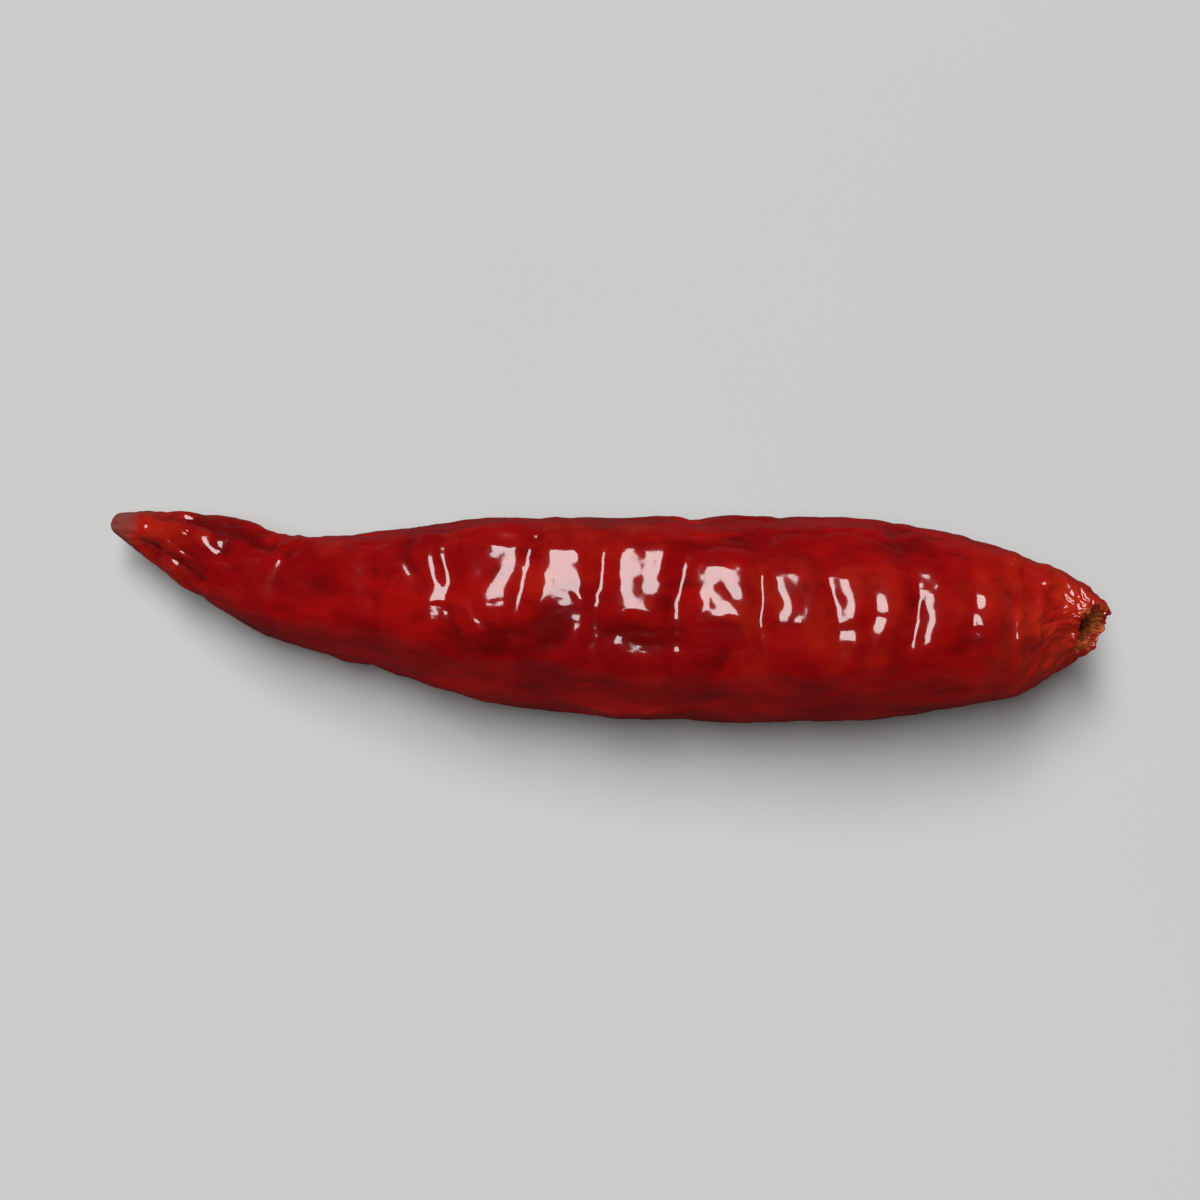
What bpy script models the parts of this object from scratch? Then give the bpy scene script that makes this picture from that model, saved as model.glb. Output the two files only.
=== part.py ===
"""A dried red chilli pod, its stalk snapped off, lying on its side on a flat surface.

The pod is one grown piece, so it is one solid. It is swept along a curved spine: the tip is at -X and
curls towards +Y, and the stem end is at +X. Its skin shrank as it dried, which left crosswise ribs along
the upper side, long shallow hollows, and puckers round the small pit where the stalk came away.

Sizes are in metres. The origin is under the middle of the pod, on the surface that it lies on.
"""

import math

import bpy
import numpy as np

MM = 0.001

# Overall sizes.
POD_LENGTH = 70.9 * MM  # from the tip to the middle of the rim round the pit
POD_WIDTH = 14.9 * MM  # seen from above at the widest place, before the skin sinks in
POD_DEPTH = 13.4 * MM  # top to underside at the same place
TIP_SWEEP = 8.9 * MM  # how far the tip curls to +Y of the body's line
STEM_TURN = 1.0 * MM  # how far the stem end turns to -Y of it
STEM_LIFT = 1.4 * MM  # how far it turns up

# The pit that the stalk left in the stem end.
PIT_WIDTH = 2.3 * MM
PIT_DEPTH = 1.7 * MM
RIM_WIDTH = 5.0 * MM  # across the rim round the pit
PUCKER_DEPTH = 0.5 * MM  # of the folds that gather the shoulder into the rim
PUCKERS = 6

# Relief of the dried skin.
RIB_DEPTH = 0.45 * MM  # how far the creases between the crosswise ribs go in
CREASE_WIDTH = 0.9 * MM  # half the width of one crease
HOLLOW_DEPTH = 0.6 * MM  # of the long hollows
BELLY_FLAT = 0.22 * MM  # how much of the underside is pressed flat where the pod lies

# The mesh.
RINGS = 84
SIDES = 36
CURVE_STEPS = 40  # points that a curve is read at between two of its own points

# Outline: (share of the length from the tip, share of half the pod's width, share of half its depth).
OUTLINE = (
    (0.004, 0.080, 0.080),
    (0.022, 0.170, 0.170),
    (0.055, 0.270, 0.265),
    (0.095, 0.385, 0.370),
    (0.160, 0.490, 0.470),
    (0.225, 0.560, 0.590),
    (0.290, 0.665, 0.750),
    (0.360, 0.840, 0.900),
    (0.440, 0.960, 0.970),
    (0.590, 1.010, 1.010),
    (0.740, 1.010, 1.010),
    (0.830, 0.930, 0.940),
    (0.890, 0.820, 0.830),
    (0.940, 0.680, 0.680),
    (0.975, 0.500, 0.500),
)

# Spine: (share of the length, share of the tip's sweep, height as a share of half the depth).
SPINE = (
    (0.00, 1.065, 0.50),
    (0.06, 0.89, 0.53),
    (0.12, 0.65, 0.58),
    (0.18, 0.405, 0.65),
    (0.25, 0.27, 0.76),
    (0.36, 0.155, 0.91),
    (0.48, 0.07, 0.97),
    (0.62, 0.00, 1.00),
    (0.80, -0.03, 0.97),
    (0.92, -0.04, 0.92),
    (1.00, -0.02, 0.95),
)
TURN_START = 0.90  # share of the length where the stem end starts to turn
FACE_TURN = 0.45  # how much more the end's face is turned to -Y than its spine, as a slope

# The body is faintly three-lobed, and the lobes wind round it.
LOBE_DEPTH = 0.03  # as a share of the half width
LOBE_START = math.radians(30)  # three times the angle of the first lobe at the tip
LOBE_TWIST = math.radians(434)  # three times the angle that the lobes wind, tip to stem

# Crosswise creases: (share of the length, share of the depth). The skin stands up as a rib between two.
CREASES = (
    (0.288, 0.35),
    (0.361, 1.00),
    (0.434, 0.90),
    (0.511, 1.00),
    (0.594, 0.85),
    (0.673, 1.00),
    (0.733, 0.70),
    (0.768, 0.35),
    (0.808, 0.90),
    (0.868, 0.80),
    (0.925, 0.50),
)
RIB_MIDDLE = math.radians(95)  # where round the pod the creases are deepest: 90 is straight up
RIB_SPREAD = math.radians(54)  # how far round they reach from there

# Long hollows: (angle round the pod, first share, last share, half width as an angle, share of the depth).
HOLLOWS = (
    (math.radians(38), 0.30, 0.62, math.radians(24), 0.7),
    (math.radians(118), 0.52, 0.90, math.radians(22), 0.6),
    (math.radians(172), 0.22, 0.58, math.radians(26), 0.9),
    (math.radians(218), 0.55, 0.88, math.radians(22), 0.7),
    (math.radians(325), 0.24, 0.50, math.radians(24), 0.9),
    (math.radians(345), 0.58, 0.90, math.radians(24), 0.8),
)

SKIN_COLOUR = (0.26, 0.004, 0.006, 1.0)
SKIN_ROUGHNESS = 0.28


def clear_scene():
    """Empties the scene that Blender starts with."""
    for obj in list(bpy.data.objects):
        bpy.data.objects.remove(obj)


def smooth_curve(points):
    """A dense centripetal Catmull-Rom curve through the points, and the length along it at each point."""
    points = np.array(points, float)
    points = np.vstack([2 * points[0] - points[1], points, 2 * points[-1] - points[-2]])
    gaps = np.linalg.norm(np.diff(points, axis=0), axis=1) ** 0.5
    knots = np.concatenate([[0], np.cumsum(gaps)])
    dense = []
    for i in range(1, len(points) - 2):
        t = np.linspace(knots[i], knots[i + 1], CURVE_STEPS, endpoint=False)[:, None]
        k, p = knots[i - 1 : i + 3], points[i - 1 : i + 3]
        a = [(p[j] * (k[j + 1] - t) + p[j + 1] * (t - k[j])) / (k[j + 1] - k[j]) for j in range(3)]
        b = [(a[j] * (k[j + 2] - t) + a[j + 1] * (t - k[j])) / (k[j + 2] - k[j]) for j in range(2)]
        dense.append((b[0] * (k[2] - t) + b[1] * (t - k[1])) / (k[2] - k[1]))
    dense = np.vstack([*dense, points[-2:-1]])
    steps = np.linalg.norm(np.diff(dense, axis=0), axis=1)
    return dense, np.concatenate([[0], np.cumsum(steps)])


def meridian():
    """(place along the pod, half width, half depth) of each ring: tip, body, over the rim and down the pit."""
    body = [(share * POD_LENGTH, wide * POD_WIDTH / 2, deep * POD_DEPTH / 2) for share, wide, deep in OUTLINE]
    rim = RIM_WIDTH / 2
    pit = PIT_WIDTH / 2
    crest = (rim + pit) / 2
    end = [
        (POD_LENGTH - 0.12 * RIM_WIDTH, rim, rim),
        (POD_LENGTH, crest, crest),
        (POD_LENGTH - 0.35 * PIT_DEPTH, 0.95 * pit, 0.95 * pit),
        (POD_LENGTH - 0.92 * PIT_DEPTH, 0.55 * pit, 0.55 * pit),
        (POD_LENGTH - PIT_DEPTH, 0.0, 0.0),
    ]
    line, along = smooth_curve([(0.0, 0.0, 0.0), *body, *end])
    even = np.linspace(0, along[-1], RINGS + 2)
    return [np.interp(even, along, column) for column in line.T]


def spine_at(place):
    """Centre and direction of the spine at these places along the pod."""
    points = [(s * POD_LENGTH, side * TIP_SWEEP, up * POD_DEPTH / 2) for s, side, up in SPINE]
    line, _ = smooth_curve(points)
    turn = np.clip((line[:, 0] / POD_LENGTH - TURN_START) / (1 - TURN_START), 0, None)
    line[:, 1] -= STEM_TURN * turn**3
    line[:, 2] += STEM_LIFT * turn**3
    slopes = np.gradient(line, line[:, 0], axis=0)
    slopes[:, 1] -= FACE_TURN * turn**3
    centre = np.stack([np.interp(place, line[:, 0], line[:, k]) for k in range(3)], axis=1)
    direction = np.stack([np.interp(place, line[:, 0], slopes[:, k]) for k in range(3)], axis=1)
    return centre, direction / np.linalg.norm(direction, axis=1, keepdims=True)


def bump(distance, width):
    """A smooth round bump: 1 at no distance, and near 0 beyond twice the width."""
    return np.exp(-((distance / width) ** 2))


def turned(angle, middle):
    """How far an angle lies from a middle one, the short way round."""
    return (angle - middle + math.pi) % (2 * math.pi) - math.pi


def crease_depth(place, angle):
    """How deep the crosswise creases are. Each slants and bends a little differently from the last."""
    depth = np.zeros(np.broadcast(place, angle).shape)
    off = turned(angle, RIB_MIDDLE)
    for i, (share, strength) in enumerate(CREASES):
        slant = 0.6 * CREASE_WIDTH * math.sin(2.4 * i)
        middle = share * POD_LENGTH + slant * off + 0.5 * CREASE_WIDTH * np.sin(2 * off + i)
        reach = RIB_SPREAD * (1 + 0.22 * math.sin(1.7 * i + 0.6))
        depth += strength * bump(place - middle, CREASE_WIDTH) * bump(off, reach)
    return RIB_DEPTH * depth


def hollow_depth(place, angle):
    """How deep the long hollows are."""
    depth = np.zeros(np.broadcast(place, angle).shape)
    for middle, first, last, width, part in HOLLOWS:
        run = bump(place / POD_LENGTH - (first + last) / 2, (last - first) / 1.7)
        depth += part * run * bump(turned(angle, middle), width)
    return HOLLOW_DEPTH * depth


def pucker_depth(place, reach, angle):
    """How deep the folds are that gather the shoulder into the rim. They die out down the pit."""
    near = bump(place - (POD_LENGTH - 0.5 * RIM_WIDTH), 0.9 * RIM_WIDTH)
    fold = 0.5 - 0.5 * np.cos(PUCKERS * angle + 0.9 * np.sin(angle))
    return PUCKER_DEPTH * near * fold * np.clip(reach / (RIM_WIDTH / 2), 0, 1) ** 2


def pod_points():
    """The rings of points on the pod's skin (rings by sides by 3), the tip, and the bottom of the pit."""
    place, wide, deep = meridian()
    centre, direction = spine_at(place)
    side = np.cross((0.0, 0.0, 1.0), direction)
    side /= np.linalg.norm(side, axis=1, keepdims=True)
    up = np.cross(direction, side)
    angle = np.linspace(0, 2 * math.pi, SIDES, endpoint=False)[None, :]
    place, wide, deep = place[:, None], wide[:, None], deep[:, None]
    thick = np.clip(wide / (POD_WIDTH / 3), 0, 1)  # the relief fades where the pod is thin
    lobes = LOBE_DEPTH * np.cos(3 * angle - LOBE_START - LOBE_TWIST * place / POD_LENGTH)
    relief = thick * (crease_depth(place, angle) + hollow_depth(place, angle))
    relief = relief + pucker_depth(place, wide, angle)
    across = (wide * (1 + thick * lobes) - relief) * np.cos(angle)
    high = (deep * (1 + thick * lobes) - relief) * np.sin(angle)
    skin = centre[:, None] + across[..., None] * side[:, None] + high[..., None] * up[:, None]
    return skin[1:-1], centre[0], centre[-1]


def lay_down(points):
    """Puts the pod on the surface, its underside pressed flat there, and the origin under its middle."""
    low, high = points.min(axis=0), points.max(axis=0)
    middle = (low + high) / 2
    points = points - np.array([middle[0], middle[1], low[2] + BELLY_FLAT])
    points[:, 2] = np.maximum(points[:, 2], 0)
    return points


def pod_faces(rings, sides):
    """Quads between the rings, and a fan at the tip and in the pit, all facing out."""
    tip = rings * sides
    pit = tip + 1
    last = tip - sides
    faces = []
    for r in range(rings - 1):
        for s in range(sides):
            a, b = r * sides + s, r * sides + (s + 1) % sides
            faces.append((a, b, b + sides, a + sides))
    for s in range(sides):
        after = (s + 1) % sides
        faces.append((tip, after, s))
        faces.append((pit, last + s, last + after))
    return faces


def skin_material():
    """Glossy, dark red dried skin."""
    material = bpy.data.materials.new("dried_skin")
    material.use_nodes = True
    shader = material.node_tree.nodes["Principled BSDF"]
    shader.inputs["Base Color"].default_value = SKIN_COLOUR
    shader.inputs["Roughness"].default_value = SKIN_ROUGHNESS
    shader.inputs["Metallic"].default_value = 0.0
    return material


def make_pod():
    """The whole pod, as one closed mesh."""
    rings, tip, pit = pod_points()
    points = lay_down(np.vstack([rings.reshape(-1, 3), tip, pit]))
    mesh = bpy.data.meshes.new("chilli_pod")
    mesh.from_pydata(points.tolist(), [], pod_faces(*rings.shape[:2]))
    mesh.shade_smooth()
    mesh.materials.append(skin_material())
    pod = bpy.data.objects.new("chilli_pod", mesh)
    bpy.context.scene.collection.objects.link(pod)


clear_scene()
make_pod()
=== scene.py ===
"""The looks of a dried red chilli pod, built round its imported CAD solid.

The pod lies on a pale floor, tip at -X and stem end at +X. Its skin is one fine mesh that replaces the CAD
solid: the same sweep at a finer step, fitted to the solid's box, with the wrinkles of the dried skin pressed
into it. Design sizes are in millimetres until the skin is fitted to the box, and in metres after that.
"""

import math
from types import SimpleNamespace

import bpy
import numpy as np
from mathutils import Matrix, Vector, noise


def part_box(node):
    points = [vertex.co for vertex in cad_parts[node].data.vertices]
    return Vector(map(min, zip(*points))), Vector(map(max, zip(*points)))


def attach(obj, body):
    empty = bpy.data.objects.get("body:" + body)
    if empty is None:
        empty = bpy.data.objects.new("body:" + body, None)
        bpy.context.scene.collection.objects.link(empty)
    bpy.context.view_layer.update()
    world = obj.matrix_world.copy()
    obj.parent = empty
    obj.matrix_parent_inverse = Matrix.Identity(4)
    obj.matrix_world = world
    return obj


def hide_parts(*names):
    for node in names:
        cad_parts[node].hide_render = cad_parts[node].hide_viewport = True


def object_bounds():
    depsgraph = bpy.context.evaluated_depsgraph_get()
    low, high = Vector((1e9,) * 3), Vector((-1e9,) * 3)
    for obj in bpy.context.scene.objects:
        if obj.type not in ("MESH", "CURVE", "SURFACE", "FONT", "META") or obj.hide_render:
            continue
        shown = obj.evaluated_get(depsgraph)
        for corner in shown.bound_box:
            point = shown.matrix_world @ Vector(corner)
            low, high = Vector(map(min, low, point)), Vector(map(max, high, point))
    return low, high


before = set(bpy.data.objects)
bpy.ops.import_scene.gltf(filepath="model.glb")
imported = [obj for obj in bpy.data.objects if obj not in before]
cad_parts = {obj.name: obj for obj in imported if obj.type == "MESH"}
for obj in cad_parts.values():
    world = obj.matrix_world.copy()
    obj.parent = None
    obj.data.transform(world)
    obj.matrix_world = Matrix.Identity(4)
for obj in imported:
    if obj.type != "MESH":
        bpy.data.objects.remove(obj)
CAD_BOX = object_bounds()
NODE = "chilli_pod"
MM = 0.001

# The pod's design, in millimetres.
POD_LENGTH = 70.9
POD_WIDTH = 14.9
POD_DEPTH = 13.4
TIP_SWEEP = 8.9
STEM_TURN = 1.0
STEM_LIFT = 1.4
PIT_WIDTH = 2.3
PIT_DEPTH = 1.7
RIM_WIDTH = 5.0
PUCKER_DEPTH = 0.5
PUCKERS = 6
RIB_DEPTH = 0.45
CREASE_WIDTH = 0.9
HOLLOW_DEPTH = 0.6
BELLY_FLAT = 0.22

# The skin's mesh.
RINGS = 430
SIDES = 228
CURVE_STEPS = 60
RIM_WAY = 0.957  # share of the way along the skin, tip to pit, at the top of the rim
RIM_EDGE = 0.006  # half width of the rim's torn edge, as a share of that way
PIT_START = 0.008  # how far past the top of the rim the inside of the pit begins
RING_SHARES = (0.00, 0.06, 0.80, 1.00)  # this share of the rings ...
SKIN_SHARES = (0.00, 0.035, 0.90, 1.00)  # ... reaches this share of the way, so both ends are finer
SMOOTH_RINGS = 8  # at each end, over which the wrinkles fade to nothing

# Outline: (share of the length from the tip, share of half the pod's width, share of half its depth).
OUTLINE = (
    (0.004, 0.080, 0.080),
    (0.022, 0.170, 0.170),
    (0.055, 0.270, 0.265),
    (0.095, 0.385, 0.370),
    (0.160, 0.490, 0.470),
    (0.225, 0.560, 0.590),
    (0.290, 0.665, 0.750),
    (0.360, 0.840, 0.900),
    (0.440, 0.960, 0.970),
    (0.590, 1.010, 1.010),
    (0.740, 1.010, 1.010),
    (0.830, 0.930, 0.940),
    (0.890, 0.820, 0.830),
    (0.940, 0.680, 0.680),
    (0.975, 0.500, 0.500),
)

# Spine: (share of the length, share of the tip's sweep, height as a share of half the depth).
SPINE = (
    (0.00, 1.065, 0.50),
    (0.06, 0.89, 0.53),
    (0.12, 0.65, 0.58),
    (0.18, 0.405, 0.65),
    (0.25, 0.27, 0.76),
    (0.36, 0.155, 0.91),
    (0.48, 0.07, 0.97),
    (0.62, 0.00, 1.00),
    (0.80, -0.03, 0.97),
    (0.92, -0.04, 0.92),
    (1.00, -0.02, 0.95),
)
TURN_START = 0.90
FACE_TURN = 0.45

# The body is faintly three-lobed, and the lobes wind round it.
LOBE_DEPTH = 0.03  # as a share of the half width
LOBE_START = math.radians(30)  # three times the angle of the first lobe at the tip
LOBE_TWIST = math.radians(434)  # three times the angle that the lobes wind, tip to stem

# Crosswise creases: (share of the length, share of the depth).
CREASES = (
    (0.288, 0.35),
    (0.361, 1.00),
    (0.434, 0.90),
    (0.511, 1.00),
    (0.594, 0.85),
    (0.673, 1.00),
    (0.733, 0.70),
    (0.768, 0.35),
    (0.808, 0.90),
    (0.868, 0.80),
    (0.925, 0.50),
)
RIB_MIDDLE = math.radians(95)
RIB_SPREAD = math.radians(54)

# Long hollows: (angle round the pod, first share, last share, half width as an angle, share of the depth).
HOLLOWS = (
    (math.radians(38), 0.30, 0.62, math.radians(24), 0.7),
    (math.radians(118), 0.52, 0.90, math.radians(22), 0.6),
    (math.radians(172), 0.22, 0.58, math.radians(26), 0.9),
    (math.radians(218), 0.55, 0.88, math.radians(22), 0.7),
    (math.radians(325), 0.24, 0.50, math.radians(24), 0.9),
    (math.radians(345), 0.58, 0.90, math.radians(24), 0.8),
)


# ---------------------------------------------------------------- design of the wrinkles

# Noises of the wrinkles: (height in millimetres, blob size along, across and up in millimetres, seed).
WRINKLES = {
    "fold_wander": (0.30, (3.0, 2.2, 2.2), 127.0),
    "dimples": (0.10, (2.4, 3.0, 3.0), 5.5),
    "small_dimples": (0.055, (1.3, 1.9, 1.9), 11.0),
    "swells": (0.13, (7.0, 3.5, 3.5), 61.0),
    "long_wrinkles": (0.34, (11.0, 2.1, 2.1), 23.0),
    "fine_long_wrinkles": (0.10, (5.0, 0.9, 0.9), 29.0),
    "neck_wrinkles": (0.15, (1.5, 3.4, 3.4), 37.0),
    "tip_lumps": (0.22, (2.1, 1.5, 1.5), 83.0),
    "tip_puckers": (0.14, (1.2, 0.6, 0.6), 53.0),
    "shoulder_streaks": (0.12, (2.6, 0.6, 0.6), 47.0),
    "torn_rim": (0.22, (0.6, 0.45, 0.45), 91.0),
    "pit_lumps": (0.12, (0.45, 0.45, 0.45), 101.0),
    "crinkle": (0.035, (1.3, 0.9, 0.9), 113.0),
    "fine_crinkle": (0.026, (0.8, 0.35, 0.35), 71.0),
}

# How far the noises' grid is bent, in millimetres, so that the wrinkles don't run straight.
BEND = 1.1
BEND_SIZE = (6.0, 4.0, 4.0)
BEND_SEEDS = (3.1, 17.7, 41.3)

# Narrow folds in the bottoms of the crosswise creases.
FOLD_DEPTH = 0.10
FOLD_WIDTH = 0.40
FOLD_UNEVEN = ((3.5, 3.0, 3.0), 131.0)  # blob size and seed of where the folds are strong

# Where the skin is smoother: the ribbed upper side, and the side at -Y of it.
TOPSIDE_SPREAD = math.radians(62)
FRONT_MIDDLE = math.radians(158)
FRONT_SPREAD = math.radians(42)

# Where the neck bends, and the inside of its bend.
NECK_SHARE = 0.20
NECK_LENGTH = 0.11
NECK_MIDDLE = math.radians(20)
NECK_SPREAD = math.radians(60)

# The shrunken tip, and the flutes round its point.
TIP_SHARE = 0.085
TIP_LENGTH = 0.07
POINT_SHARE = 0.06
POINT_FLUTES = 7
POINT_FLUTE_DEPTH = 0.06

# The shoulder: where it starts and ends, and the folds that run into the rim of the pit.
SHOULDER = (0.87, 0.975)
SHOULDER_FOLDS = 8
SHOULDER_FOLD_DEPTH = 0.22
SHOULDER_MIDDLE = math.radians(80)
SHOULDER_SPREAD = math.radians(80)

# The pit's fibres, and the blob size and seed of how they wander.
PIT_FIBRES = 22
PIT_FIBRE_DEPTH = 0.06
FIBRE_WANDER = ((0.8, 0.8, 0.8), 97.0)

# Low ridges across the shoulder: (share of the length, half width as a share, height in millimetres).
SHOULDER_RIDGES = ((0.925, 0.010, 0.28), (0.960, 0.009, 0.24))

# Soft crests along the upper side: (angle round the pod, first share, last share, half width, height in mm).
# A crest with a height under 0 is a dip.
LONG_CRESTS = (
    (math.radians(62), 0.34, 0.62, math.radians(20), 0.38),
    (math.radians(126), 0.34, 0.60, math.radians(22), -0.15),
    (math.radians(106), 0.62, 0.94, math.radians(24), 0.45),
)
CREST_FADES = (0.06, 0.06)  # in and out, as shares of the length

# Grooves of the folded tip: (angle round the pod, depth in millimetres, first share, last share).
TIP_GROOVES = (
    (math.radians(140), 0.65, 0.02, 0.16),
    (math.radians(62), 0.30, 0.03, 0.24),
    (math.radians(230), 0.40, 0.02, 0.20),
    (math.radians(320), 0.36, 0.01, 0.16),
)
GROOVE_WIDTH = 0.22  # as an angle
GROOVE_FADES = (0.03, 0.05)  # in and out, as shares of the length


# ---------------------------------------------------------------- shape of the pod


def smooth_curve(points):
    """A dense centripetal Catmull-Rom curve through the points, and the length along it at each point."""
    points = np.array(points, float)
    points = np.vstack([2 * points[0] - points[1], points, 2 * points[-1] - points[-2]])
    gaps = np.linalg.norm(np.diff(points, axis=0), axis=1) ** 0.5
    knots = np.concatenate([[0], np.cumsum(gaps)])
    dense = []
    for i in range(1, len(points) - 2):
        t = np.linspace(knots[i], knots[i + 1], CURVE_STEPS, endpoint=False)[:, None]
        k, p = knots[i - 1 : i + 3], points[i - 1 : i + 3]
        a = [(p[j] * (k[j + 1] - t) + p[j + 1] * (t - k[j])) / (k[j + 1] - k[j]) for j in range(3)]
        b = [(a[j] * (k[j + 2] - t) + a[j + 1] * (t - k[j])) / (k[j + 2] - k[j]) for j in range(2)]
        dense.append((b[0] * (k[2] - t) + b[1] * (t - k[1])) / (k[2] - k[1]))
    dense = np.vstack([*dense, points[-2:-1]])
    steps = np.linalg.norm(np.diff(dense, axis=0), axis=1)
    return dense, np.concatenate([[0], np.cumsum(steps)])


def meridian():
    """(place along the pod, half width, half depth) of each ring, and its share of the way along the skin."""
    body = [(share * POD_LENGTH, wide * POD_WIDTH / 2, deep * POD_DEPTH / 2) for share, wide, deep in OUTLINE]
    rim = RIM_WIDTH / 2
    pit = PIT_WIDTH / 2
    crest = (rim + pit) / 2
    end = [
        (POD_LENGTH - 0.12 * RIM_WIDTH, rim, rim),
        (POD_LENGTH, crest, crest),
        (POD_LENGTH - 0.35 * PIT_DEPTH, 0.95 * pit, 0.95 * pit),
        (POD_LENGTH - 0.92 * PIT_DEPTH, 0.55 * pit, 0.55 * pit),
        (POD_LENGTH - PIT_DEPTH, 0.0, 0.0),
    ]
    line, along = smooth_curve([(0.0, 0.0, 0.0), *body, *end])
    way = np.interp(np.linspace(0, 1, RINGS + 2), RING_SHARES, SKIN_SHARES)
    return [np.interp(way * along[-1], along, column) for column in line.T] + [way]


def spine_at(place):
    """Centre and direction of the spine at these places along the pod."""
    points = [(s * POD_LENGTH, side * TIP_SWEEP, up * POD_DEPTH / 2) for s, side, up in SPINE]
    line, _ = smooth_curve(points)
    turn = np.clip((line[:, 0] / POD_LENGTH - TURN_START) / (1 - TURN_START), 0, None)
    line[:, 1] -= STEM_TURN * turn**3
    line[:, 2] += STEM_LIFT * turn**3
    slopes = np.gradient(line, line[:, 0], axis=0)
    slopes[:, 1] -= FACE_TURN * turn**3
    centre = np.stack([np.interp(place, line[:, 0], line[:, k]) for k in range(3)], axis=1)
    direction = np.stack([np.interp(place, line[:, 0], slopes[:, k]) for k in range(3)], axis=1)
    return centre, direction / np.linalg.norm(direction, axis=1, keepdims=True)


def bump(distance, width):
    """A smooth round bump: 1 at no distance, and near 0 beyond twice the width."""
    return np.exp(-((distance / width) ** 2))


def turned(angle, middle):
    """How far an angle lies from a middle one, the short way round."""
    return (angle - middle + math.pi) % (2 * math.pi) - math.pi


def crease_lines(place, angle):
    """For each crosswise crease: the distance to its line, and how strong it is there."""
    off = turned(angle, RIB_MIDDLE)
    for i, (share, strength) in enumerate(CREASES):
        slant = 0.6 * CREASE_WIDTH * math.sin(2.4 * i)
        middle = share * POD_LENGTH + slant * off + 0.5 * CREASE_WIDTH * np.sin(2 * off + i)
        reach = RIB_SPREAD * (1 + 0.22 * math.sin(1.7 * i + 0.6))
        yield place - middle, strength * bump(off, reach)


def crease_depth(place, angle):
    """How deep the crosswise creases are."""
    depth = np.zeros(np.broadcast(place, angle).shape)
    for distance, strength in crease_lines(place, angle):
        depth += strength * bump(distance, CREASE_WIDTH)
    return RIB_DEPTH * depth


def hollow_depth(place, angle):
    """How deep the long hollows are."""
    depth = np.zeros(np.broadcast(place, angle).shape)
    for middle, first, last, width, part in HOLLOWS:
        run = bump(place / POD_LENGTH - (first + last) / 2, (last - first) / 1.7)
        depth += part * run * bump(turned(angle, middle), width)
    return HOLLOW_DEPTH * depth


def pucker_depth(place, reach, angle):
    """How deep the folds are that gather the shoulder into the rim. They die out down the pit."""
    near = bump(place - (POD_LENGTH - 0.5 * RIM_WIDTH), 0.9 * RIM_WIDTH)
    fold = 0.5 - 0.5 * np.cos(PUCKERS * angle + 0.9 * np.sin(angle))
    return PUCKER_DEPTH * near * fold * np.clip(reach / (RIM_WIDTH / 2), 0, 1) ** 2


def pod_surface():
    """The smooth skin as an array of rings by sides by 3, its two end points, and where each ring lies."""
    place, wide, deep, way = meridian()
    centre, direction = spine_at(place)
    side = np.cross((0.0, 0.0, 1.0), direction)
    side /= np.linalg.norm(side, axis=1, keepdims=True)
    up = np.cross(direction, side)
    angle = np.linspace(0, 2 * math.pi, SIDES, endpoint=False)[None, :]
    place, wide, deep = place[:, None], wide[:, None], deep[:, None]
    thick = np.clip(wide / (POD_WIDTH / 3), 0, 1)
    lobes = LOBE_DEPTH * np.cos(3 * angle - LOBE_START - LOBE_TWIST * place / POD_LENGTH)
    relief = thick * (crease_depth(place, angle) + hollow_depth(place, angle))
    relief = relief + pucker_depth(place, wide, angle)
    across = (wide * (1 + thick * lobes) - relief) * np.cos(angle)
    high = (deep * (1 + thick * lobes) - relief) * np.sin(angle)
    skin = centre[:, None] + across[..., None] * side[:, None] + high[..., None] * up[:, None]
    where = {"place": place[1:-1], "reach": wide[1:-1], "angle": angle, "way": way}
    return skin[1:-1], centre[0], centre[-1], where


# ---------------------------------------------------------------- wrinkles of the dried skin


def field(points, stretch, seed):
    """Smooth noise, about -1 to 1, at each point. Stretch is the size of its blobs along, across and up."""
    spots = (points / np.array(stretch) + seed).reshape(-1, 3)
    values = np.fromiter((noise.noise(Vector(spot)) for spot in spots.tolist()), float, len(spots))
    return 1.6 * values.reshape(points.shape[:-1])


def ramp(value, low, high):
    """0 below low, 1 above high, and a smooth step between."""
    t = np.clip((value - low) / (high - low), 0, 1)
    return t * t * (3 - 2 * t)


def plateau(share, first, last, fades):
    """1 from the first share to the last, fading in and out over the two fades at its ends."""
    fade_in, fade_out = fades
    return ramp(share, first, first + fade_in) * (1 - ramp(share, last - fade_out, last))


def layer(points, name):
    """One of the named noises at each point, times its height."""
    height, stretch, seed = WRINKLES[name]
    return height * field(points, stretch, seed)


def folded(points, name, level):
    """The same, folded up at zero into ridges with sharp valleys, and lowered by a share of its height."""
    return np.abs(layer(points, name)) - level * WRINKLES[name][0]


def skin_places(straight, where):
    """What the wrinkles depend on, at each point of the pod as if it were straightened."""
    at = SimpleNamespace(place=where["place"], reach=where["reach"], angle=where["angle"], straight=straight)
    at.way = where["way"][1:-1, None]
    at.share = at.place / POD_LENGTH
    at.topside = bump(turned(at.angle, RIB_MIDDLE), TOPSIDE_SPREAD)
    at.front = bump(turned(at.angle, FRONT_MIDDLE), FRONT_SPREAD)
    at.thin = np.clip(at.reach / (POD_WIDTH / 4), 0.25, 1)
    at.warp = np.stack([field(straight, BEND_SIZE, seed) for seed in BEND_SEEDS], axis=-1)
    at.bent = straight + BEND * at.warp
    return at


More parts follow.
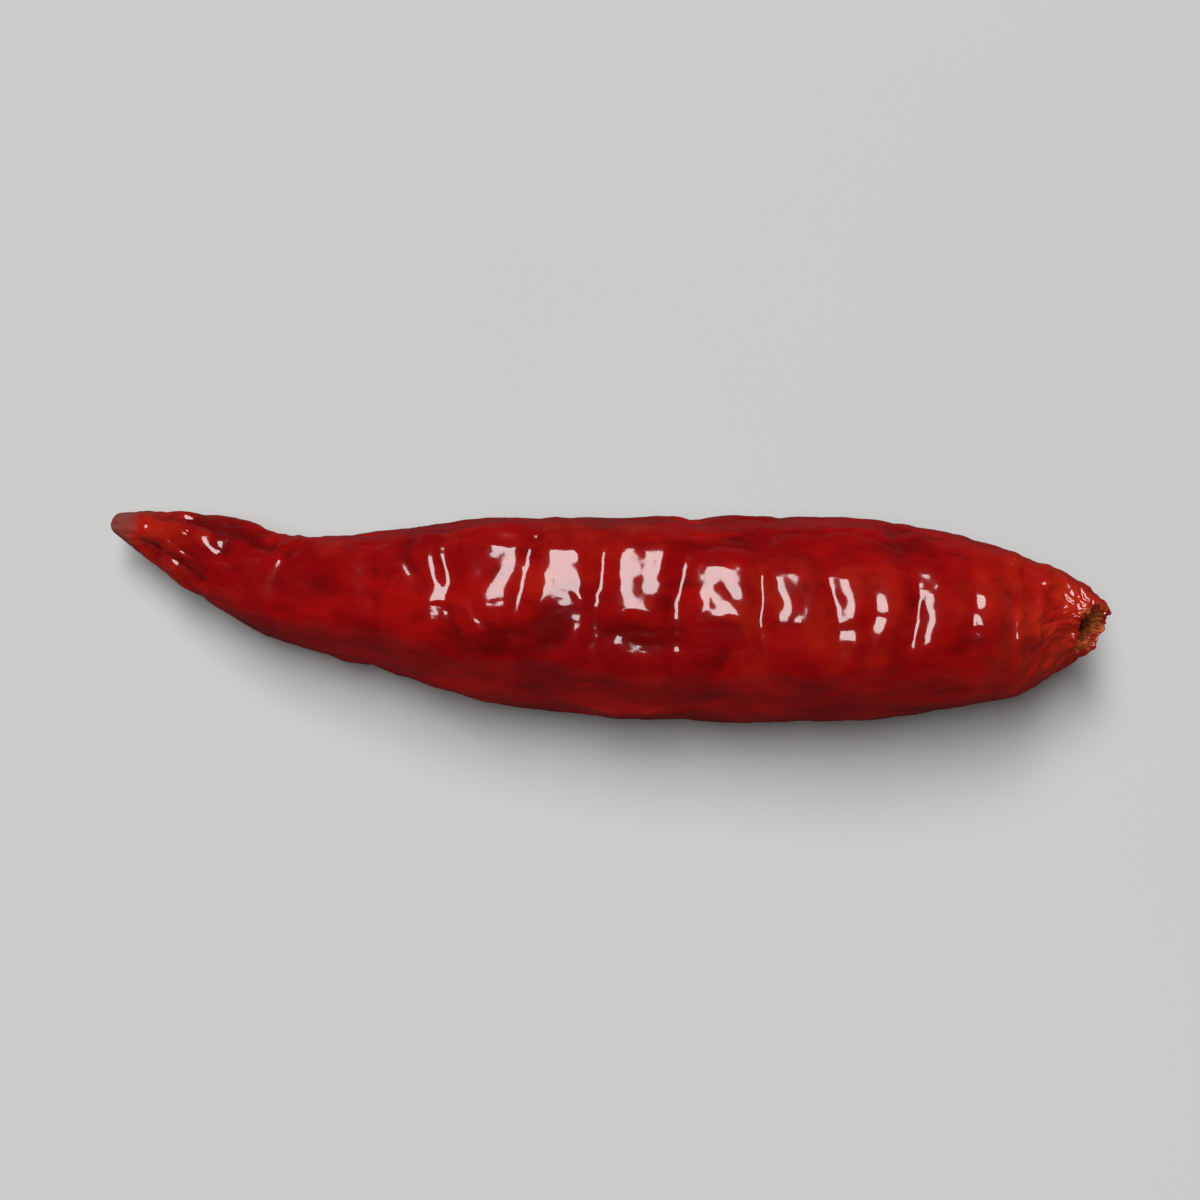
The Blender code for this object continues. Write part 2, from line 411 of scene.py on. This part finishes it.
def fold_height(at):
    """Narrow folds in the crosswise creases, each wandering a little and stronger here and there."""
    wander = 0.35 * at.warp[..., 0] + layer(at.straight, "fold_wander")
    uneven = np.clip(0.65 + 0.9 * field(at.straight, *FOLD_UNEVEN), 0, 1.4)
    lines = np.zeros(at.bent.shape[:2])
    for distance, strength in crease_lines(at.place, at.angle):
        lines += strength * uneven * np.exp(-np.sqrt((distance + wander) ** 2 + 0.03) / FOLD_WIDTH)
    return -FOLD_DEPTH * lines * at.thin


def body_height(at):
    """Dimples on the ribs, soft unevenness and crests, and the long wrinkles of the flanks and underside."""
    height = layer(at.bent, "dimples") * (0.4 + 0.6 * at.topside)
    height += layer(at.bent, "small_dimples") * at.topside * at.thin
    height += layer(at.bent, "swells")
    for middle, first, last, width, rise in LONG_CRESTS:
        crest = bump(turned(at.angle, middle) + 0.12 * at.warp[..., 1], width)
        height += rise * plateau(at.share, first, last, CREST_FADES) * crest
    flank = np.clip(1 - 0.9 * at.topside - 0.6 * at.front, 0.05, 1)
    long_ones = folded(at.bent, "long_wrinkles", 0.318) + folded(at.bent, "fine_long_wrinkles", 0.318)
    return height + long_ones * flank * at.thin


def neck_height(at):
    """Crosswise wrinkles where the neck bends, deepest inside the bend."""
    near = bump(at.share - NECK_SHARE, NECK_LENGTH) * bump(turned(at.angle, NECK_MIDDLE), NECK_SPREAD)
    return folded(at.bent, "neck_wrinkles", 0.4) * near * at.thin


def tip_height(at):
    """Grooves where the shrunken tip has folded in, its lumps and puckers, and the flutes round its point."""
    height = np.zeros(at.bent.shape[:2])
    for middle, depth, first, last in TIP_GROOVES:
        off = turned(at.angle, middle) + 0.5 * (at.share - first) + 0.25 * at.warp[..., 1]
        groove = np.exp(-np.sqrt(off**2 + 0.004) / GROOVE_WIDTH)
        height -= depth * plateau(at.share, first, last, GROOVE_FADES) * groove
    shrunken = bump(at.share - TIP_SHARE, TIP_LENGTH)
    point = 1 - ramp(at.share, 0.0, POINT_SHARE)
    height += layer(at.straight, "tip_lumps") * shrunken
    height += POINT_FLUTE_DEPTH * np.cos(POINT_FLUTES * at.angle + 2.0 * at.warp[..., 0]) * point
    return height + folded(at.bent, "tip_puckers", 0.3) * (shrunken + point)


def shoulder_height(at):
    """Folds and fine streaks that run into the rim of the pit, and two low ridges across the shoulder."""
    shoulder = ramp(at.share, *SHOULDER)
    folds = np.abs(np.sin(SHOULDER_FOLDS * at.angle + 1.9 * at.warp[..., 1])) - 0.6
    stronger = 0.6 + 0.4 * np.cos(3 * at.angle + 1.3)
    height = SHOULDER_FOLD_DEPTH * folds * shoulder * at.thin * stronger
    height += folded(at.bent, "shoulder_streaks", 0.3) * shoulder
    for middle, width, rise in SHOULDER_RIDGES:
        ridge = bump(at.share + 0.004 * at.warp[..., 2] - middle, width)
        height += rise * ridge * bump(turned(at.angle, SHOULDER_MIDDLE), SHOULDER_SPREAD)
    return height


def pit_height(at):
    """The torn edge that the stalk left on the rim, and the fibres down the pit."""
    height = folded(at.bent, "torn_rim", 0.2) * bump(at.way - RIM_WAY, RIM_EDGE)
    inside = ramp(at.way, RIM_WAY, RIM_WAY + PIT_START)
    fibres = np.cos(PIT_FIBRES * at.angle + 3.0 * field(at.straight, *FIBRE_WANDER))
    return height + (PIT_FIBRE_DEPTH * fibres + layer(at.straight, "pit_lumps")) * inside


def wrinkles(straight, where):
    """How far the skin stands out, in millimetres, at each point of the pod as if it were straightened."""
    at = skin_places(straight, where)
    height = fold_height(at) + body_height(at) + neck_height(at)
    height += tip_height(at) + shoulder_height(at) + pit_height(at)
    return height + layer(at.bent, "crinkle") * at.thin + folded(at.bent, "fine_crinkle", 0.0)


def outward(skin):
    """Outward unit normals of the grid of points."""
    along = np.gradient(skin, axis=0)
    round_it = np.roll(skin, -1, axis=1) - np.roll(skin, 1, axis=1)
    normal = np.cross(round_it, along)
    return normal / np.maximum(np.linalg.norm(normal, axis=2, keepdims=True), 1e-12)


def fit_to_box(points, low, high):
    """The points moved and stretched so that they fill the box exactly."""
    least, most = points.min(axis=0), points.max(axis=0)
    return low + (points - least) / (most - least) * (high - low)


# ---------------------------------------------------------------- mesh


def pod_faces(rings, sides):
    """Corner indices of the quads between rings, then of the triangles at the tip and in the pit."""
    r, s = np.meshgrid(np.arange(rings - 1), np.arange(sides), indexing="ij")
    after = (s + 1) % sides
    near, far = r * sides, (r + 1) * sides
    quads = np.stack([near + s, near + after, far + after, far + s], axis=-1)
    tip, last = rings * sides, (rings - 1) * sides
    around = np.arange(sides)
    after = (around + 1) % sides
    tip_fan = np.stack([np.full(sides, tip), after, around], axis=-1)
    pit_fan = np.stack([np.full(sides, tip + 1), last + around, last + after], axis=-1)
    return quads.reshape(-1, 4), tip_fan, pit_fan


def pod_map(rings, sides, way):
    """Map coordinates of every face corner: u along the skin and v round it, with no face across the seam."""
    r, s = np.meshgrid(np.arange(rings - 1), np.arange(sides), indexing="ij")
    low, high = s / sides, (s + 1) / sides
    near, far = way[1:-1][r], way[1:-1][r + 1]
    quads = np.stack([near, low, near, high, far, high, far, low], axis=-1).reshape(-1, 2)
    around = np.arange(sides) / sides
    after = around + 1 / sides
    middle = (around + after) / 2
    first, last = np.full(sides, way[1]), np.full(sides, way[-2])
    tip_fan = np.stack([np.zeros(sides), middle, first, after, first, around], axis=-1).reshape(-1, 2)
    pit_fan = np.stack([np.ones(sides), middle, last, around, last, after], axis=-1).reshape(-1, 2)
    return np.vstack([quads, tip_fan, pit_fan])


def make_skin():
    """The pod's skin as one fine mesh, with the values that its material reads."""
    skin, tip, pit, where = pod_surface()
    rings, sides = skin.shape[:2]
    angle = np.broadcast_to(where["angle"], (rings, sides))
    reach = np.broadcast_to(where["reach"], (rings, sides))
    place = np.broadcast_to(where["place"], (rings, sides))
    straight = np.stack([place, reach * np.cos(angle), reach * np.sin(angle)], axis=-1)
    height = wrinkles(straight, where)

    low, high = (np.array(corner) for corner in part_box(NODE))
    points = np.vstack([skin.reshape(-1, 3), tip, pit])
    points[:, 2] = np.maximum(points[:, 2] - points[:, 2].min() - BELLY_FLAT, 0)
    points = fit_to_box(points, low, high)
    skin = points[:-2].reshape(rings, sides, 3)
    from_end = np.minimum(np.arange(rings), np.arange(rings)[::-1])
    fade = ramp(from_end, 0, SMOOTH_RINGS)[:, None]
    skin = skin + outward(skin) * (height * fade * MM)[..., None]
    points = np.vstack([skin.reshape(-1, 3), points[-2:]])
    points[:, 2] = np.maximum(points[:, 2], low[2])

    faces = [face for group in pod_faces(rings, sides) for face in group.tolist()]
    mesh = bpy.data.meshes.new("dried_pod")
    mesh.from_pydata(points.tolist(), [], faces)
    mesh.shade_smooth()
    uv_map = mesh.uv_layers.new(name="OFBake")
    uv_map.uv.foreach_set("vector", pod_map(rings, sides, where["way"]).astype(np.float32).ravel())

    way = np.broadcast_to(where["way"][1:-1, None], (rings, sides))
    values = {
        "along": (way, 0.0, 1.0),
        "place": (place / POD_LENGTH, 0.0, 1.0),
        "relief": (height, 0.0, 0.0),
    }
    for name, (value, at_tip, at_pit) in values.items():
        attribute = mesh.attributes.new(name, "FLOAT", "POINT")
        attribute.data.foreach_set("value", np.append(value.ravel(), [at_tip, at_pit]).astype(np.float32))
    pod = bpy.data.objects.new("dried_pod", mesh)
    bpy.context.scene.collection.objects.link(pod)
    return pod


# ---------------------------------------------------------------- material


class Nodes:
    """Adds nodes to a material's tree, with a method for each kind that the skin uses."""

    def __init__(self, name):
        self.material = bpy.data.materials.new(name)
        self.material.use_nodes = True
        self.tree = self.material.node_tree
        self.shader = self.tree.nodes["Principled BSDF"]

    def add(self, kind, **settings):
        """A new node of this kind, with these settings."""
        node = self.tree.nodes.new(kind)
        for key, value in settings.items():
            setattr(node, key, value)
        return node

    def put(self, socket, value):
        """Links a socket to a node's output, or gives it a plain value."""
        if isinstance(value, bpy.types.NodeSocket):
            self.tree.links.new(value, socket)
        else:
            socket.default_value = value

    def attribute(self, name):
        """One of the values that the mesh holds at each point."""
        return self.add("ShaderNodeAttribute", attribute_name=name).outputs["Fac"]

    def place(self, scale):
        """Object coordinates, scaled by a different number along each axis."""
        mapping = self.add("ShaderNodeMapping")
        self.put(mapping.inputs["Vector"], self.add("ShaderNodeTexCoord").outputs["Object"])
        mapping.inputs["Scale"].default_value = scale
        return mapping.outputs["Vector"]

    def noise(self, name):
        """One of the named textures, about 0 to 1."""
        scale, detail, roughness, warp = TEXTURES[name]
        texture = self.add("ShaderNodeTexNoise")
        self.put(texture.inputs["Vector"], self.place(scale))
        texture.inputs["Scale"].default_value = 1.0
        texture.inputs["Detail"].default_value = detail
        texture.inputs["Roughness"].default_value = roughness
        texture.inputs["Distortion"].default_value = warp
        return texture.outputs["Fac"]

    def cells(self, scale):
        """Rounded cells, 0 in their middles."""
        texture = self.add("ShaderNodeTexVoronoi", feature="SMOOTH_F1")
        self.put(texture.inputs["Vector"], self.place(scale))
        texture.inputs["Scale"].default_value = 1.0
        return texture.outputs["Distance"]

    def math(self, operation, a, b=0.0, clamp=False):
        """The sum, product or the like of two values."""
        node = self.add("ShaderNodeMath", operation=operation, use_clamp=clamp)
        self.put(node.inputs[0], a)
        self.put(node.inputs[1], b)
        return node.outputs[0]

    def ramp(self, value, low, high, to_low=0.0, to_high=1.0):
        """A smooth step from one result, at the value low, to another, at the value high."""
        node = self.add("ShaderNodeMapRange", interpolation_type="SMOOTHSTEP")
        for name, number in (("From Min", low), ("From Max", high), ("To Min", to_low), ("To Max", to_high)):
            node.inputs[name].default_value = number
        self.put(node.inputs["Value"], value)
        return node.outputs["Result"]

    def mix(self, share, first, second):
        """The first colour at share 0, the second at share 1, and their blend between."""
        node = self.add("ShaderNodeMix", data_type="RGBA")
        self.put(node.inputs["Factor"], share)
        self.put(node.inputs["A"], first)
        self.put(node.inputs["B"], second)
        return node.outputs["Result"]


DEEP_RED = (0.175, 0.0009, 0.0016, 1.0)
WARM_RED = (0.265, 0.0024, 0.0019, 1.0)
DARK_RED = (0.080, 0.0007, 0.0012, 1.0)
# Painted glow of light through the thin skin, and the skin's own orange at the ends.
ORANGE_GLOW_RED = (0.340, 0.016, 0.005, 1.0)
SCAR_TAN = (0.450, 0.110, 0.026, 1.0)
SCAR_BROWN = (0.170, 0.028, 0.009, 1.0)
TIP_BROWN = (0.150, 0.045, 0.034, 1.0)
# Painted shade deep down the pit.
PIT_PAINTED_SHADE = (0.035, 0.006, 0.004, 1.0)

# Noise textures: (blobs in a metre along, across and up, detail, roughness, distortion).
TEXTURES = {
    "blotches": ((140, 240, 240), 3, 0.60, 0.0),
    "streaks": ((180, 900, 900), 4, 0.60, 0.4),
    "crests": ((330, 260, 260), 3, 0.55, 0.0),
    "shoulder": ((420, 420, 420), 4, 0.55, 0.0),
    "thin_tip": ((300, 500, 500), 3, 0.55, 0.0),
    "brown_tip": ((900, 900, 900), 3, 0.55, 0.0),
    "ragged_scar": ((700, 700, 700), 3, 0.55, 0.0),
    "scar_fibres": ((1800, 2600, 2600), 4, 0.70, 0.0),
    "gloss": ((500, 900, 900), 4, 0.60, 0.0),
    "grain": ((1100, 2600, 2600), 5, 0.60, 0.5),
    "floor": ((9, 9, 9), 3, 0.55, 0.0),
}
PORES = (2600, 3800, 3800)  # cells in a metre along, across and up
GRAIN_DEPTH = 0.06 * MM

# Orange patches: painted glow of light through the thin skin on raised crests, and at both ends the skin's
# own orange with painted glow: (value that places them, its range, texture, its range, least and most
# orange).
ORANGE_GLOW_PATCHES = (
    ("relief", (0.02, 0.16), "crests", (0.45, 0.70), (0.0, 0.35)),
    ("place", (0.85, 0.99), "shoulder", (0.35, 0.65), (0.25, 0.90)),
    ("place", (0.14, 0.03), "thin_tip", (0.35, 0.65), (0.0, 0.5)),
)

# Where colours, and the painted shade of the wrinkles and the pit, begin and where they are full.
# Painted shade in the wrinkles: darker red from the first height of the relief down to the second.
WRINKLE_PAINTED_SHADE = (-0.05, -0.24)  # height of the relief in millimetres
BROWN_PLACES = (0.050, 0.008)  # share of the pod's length
BROWN_LIMIT = (0.07, 0.02)  # and no brown at all beyond the first of these
SCAR_WAY = (0.958, 0.967)  # share of the way along the skin
# Painted shade down the pit: where it begins and where it is full, as shares of the way.
PIT_SHADE_WAY = (0.966, 0.985)


def skin_colour(n, scar):
    """Mottled red with painted shade in its wrinkles and deep in the pit; orange painted glow of light
    through the skin on raised crests and at both ends, over the skin's own orange there; tan at the stalk's
    scar, brown at the tip.
    """
    values = {name: n.attribute(name) for name in ("along", "place", "relief")}

    colour = n.mix(n.ramp(n.noise("blotches"), 0.36, 0.66), DEEP_RED, WARM_RED)
    colour = n.mix(n.ramp(n.noise("streaks"), 0.50, 0.75, 0.0, 0.55), colour, DARK_RED)
    # Painted shade: darker red down in the wrinkles and creases, by the height of the relief.
    colour = n.mix(n.ramp(values["relief"], *WRINKLE_PAINTED_SHADE, 0.0, 0.75), colour, DARK_RED)

    # Painted glow of light through the skin on raised crests, over the skin's own orange at both ends.
    for name, limits, texture, spread, orange in ORANGE_GLOW_PATCHES:
        spots = n.ramp(n.noise(texture), *spread, *orange)
        colour = n.mix(n.math("MULTIPLY", n.ramp(values[name], *limits), spots), colour, ORANGE_GLOW_RED)

    spots = n.ramp(n.noise("brown_tip"), 0.3, 0.7, -0.25, 0.25)
    brown = n.math("ADD", n.ramp(values["place"], *BROWN_PLACES, 0.0, 0.9), spots)
    brown = n.math("MULTIPLY", brown, n.ramp(values["place"], *BROWN_LIMIT), clamp=True)
    colour = n.mix(brown, colour, TIP_BROWN)

    fibres = n.ramp(n.noise("scar_fibres"), 0.40, 0.64)
    colour = n.mix(scar, colour, n.mix(fibres, SCAR_BROWN, SCAR_TAN))
    # Painted shade: near black deep down the pit.
    return n.mix(n.ramp(values["along"], *PIT_SHADE_WAY), colour, PIT_PAINTED_SHADE)


def skin_material():
    """Thin, leathery skin under its own gloss, which ends at the matt scar that the stalk left."""
    n = Nodes("dried_skin")
    ragged = n.ramp(n.noise("ragged_scar"), 0.2, 0.8, -0.012, 0.012)
    scar = n.ramp(n.math("ADD", n.attribute("along"), ragged), *SCAR_WAY)
    n.put(n.shader.inputs["Base Color"], skin_colour(n, scar))

    rough = n.ramp(n.noise("gloss"), 0.3, 0.7, 0.26, 0.40)
    rough = n.math("ADD", rough, n.ramp(scar, 0.0, 1.0, 0.0, 0.35))
    n.put(n.shader.inputs["Roughness"], rough)
    n.put(n.shader.inputs["Coat Weight"], n.ramp(scar, 0.0, 1.0, 0.9, 0.0))
    n.shader.inputs["Coat Roughness"].default_value = 0.09
    n.shader.inputs["Coat IOR"].default_value = 1.55
    n.shader.inputs["IOR"].default_value = 1.45
    n.shader.inputs["Specular IOR Level"].default_value = 0.03
    n.shader.inputs["Subsurface Weight"].default_value = 0.12
    n.shader.inputs["Subsurface Radius"].default_value = (1.0, 0.12, 0.06)
    n.shader.inputs["Subsurface Scale"].default_value = 1.5 * MM

    grain = n.math("MULTIPLY", n.noise("grain"), 0.7)
    pores = n.math("MULTIPLY", n.cells(PORES), 0.3)
    bump_node = n.add("ShaderNodeBump")
    bump_node.inputs["Strength"].default_value = 0.35
    bump_node.inputs["Distance"].default_value = GRAIN_DEPTH
    n.put(bump_node.inputs["Height"], n.math("ADD", grain, pores))
    n.put(n.shader.inputs["Normal"], bump_node.outputs["Normal"])
    return n.material


FLOOR_TONES = ((0.395, 0.393, 0.388, 1.0), (0.425, 0.423, 0.419, 1.0))
# Painted reflection: the floor's colour in gloss only, deep red like a heap of other pods.
FLOOR_PAINTED_REFLECTION = (0.070, 0.005, 0.005, 1.0)


def floor_material():
    """Plain, pale and matt to the camera. In the pod's gloss it shows deep red: a painted reflection of a
    heap of other pods.
    """
    n = Nodes("pale_floor")
    tone = n.mix(n.noise("floor"), *FLOOR_TONES)
    mirrored = n.add("ShaderNodeLightPath").outputs["Is Glossy Ray"]
    # In gloss the floor turns deep red: a painted reflection.
    n.put(n.shader.inputs["Base Color"], n.mix(mirrored, tone, FLOOR_PAINTED_REFLECTION))
    n.shader.inputs["Roughness"].default_value = 0.85
    return n.material


# ---------------------------------------------------------------- stage

FLOOR_SIZE = 3.0


def make_floor():
    """A flat floor at the height of the pod's underside."""
    bpy.ops.mesh.primitive_plane_add(size=FLOOR_SIZE, location=(0, 0, CAD_BOX[0][2]))
    floor = bpy.context.object
    floor.name = "floor"
    floor.data.materials.append(floor_material())


KEY_PLACE = Vector((-0.36, 0.17, 2.37))
KEY_SIZE = (0.9, 3.4)
KEY_POWER = 108.0
SKY_TONE = (0.95, 0.97, 1.0, 1.0)
SKY_STRENGTH = 0.02
BACKDROP_TONE = (0.72, 0.72, 0.71, 1.0)


def make_lights():
    """One big softbox overhead, its long side across the pod, and a dim sky that the camera sees as pale."""
    key = bpy.data.lights.new("key", "AREA")
    key.shape = "RECTANGLE"
    key.size, key.size_y = KEY_SIZE
    key.energy = KEY_POWER
    softbox = bpy.data.objects.new("key", key)
    softbox.location = KEY_PLACE
    softbox.rotation_euler = Vector((0, 0, -1)).rotation_difference(-KEY_PLACE).to_euler()
    bpy.context.scene.collection.objects.link(softbox)

    world = bpy.data.worlds.new("studio")
    bpy.context.scene.world = world
    world.use_nodes = True
    tree = world.node_tree
    dim = tree.nodes["Background"]
    dim.inputs["Color"].default_value = SKY_TONE
    dim.inputs["Strength"].default_value = SKY_STRENGTH
    pale = tree.nodes.new("ShaderNodeBackground")
    pale.inputs["Color"].default_value = BACKDROP_TONE
    choose = tree.nodes.new("ShaderNodeMixShader")
    tree.links.new(tree.nodes.new("ShaderNodeLightPath").outputs["Is Camera Ray"], choose.inputs[0])
    tree.links.new(dim.outputs[0], choose.inputs[1])
    tree.links.new(pale.outputs[0], choose.inputs[2])
    tree.links.new(choose.outputs[0], tree.nodes["World Output"].inputs["Surface"])


CAMERA_ELEVATION = math.radians(65)
LENS = 85.0
POD_IN_FRAME = 0.84  # share of the picture's width that the pod fills


def make_camera():
    """Looks down at the pod from the side at -Y."""
    low, high = CAD_BOX
    middle = (low + high) / 2
    camera = bpy.data.objects.new("camera", bpy.data.cameras.new("camera"))
    bpy.context.scene.collection.objects.link(camera)
    camera.data.lens = LENS
    length = high[0] - low[0]
    distance = length / POD_IN_FRAME * LENS / camera.data.sensor_width
    camera.location = middle + distance * Vector((0, -math.cos(CAMERA_ELEVATION), math.sin(CAMERA_ELEVATION)))
    camera.rotation_euler = (middle - camera.location).to_track_quat("-Z", "Y").to_euler()
    camera.data.clip_start = 0.01
    bpy.context.scene.camera = camera
    bpy.context.scene.view_settings.view_transform = "Standard"


pod = make_skin()
pod.data.materials.append(skin_material())
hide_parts(NODE)
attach(pod, "root")
make_floor()
make_lights()
make_camera()
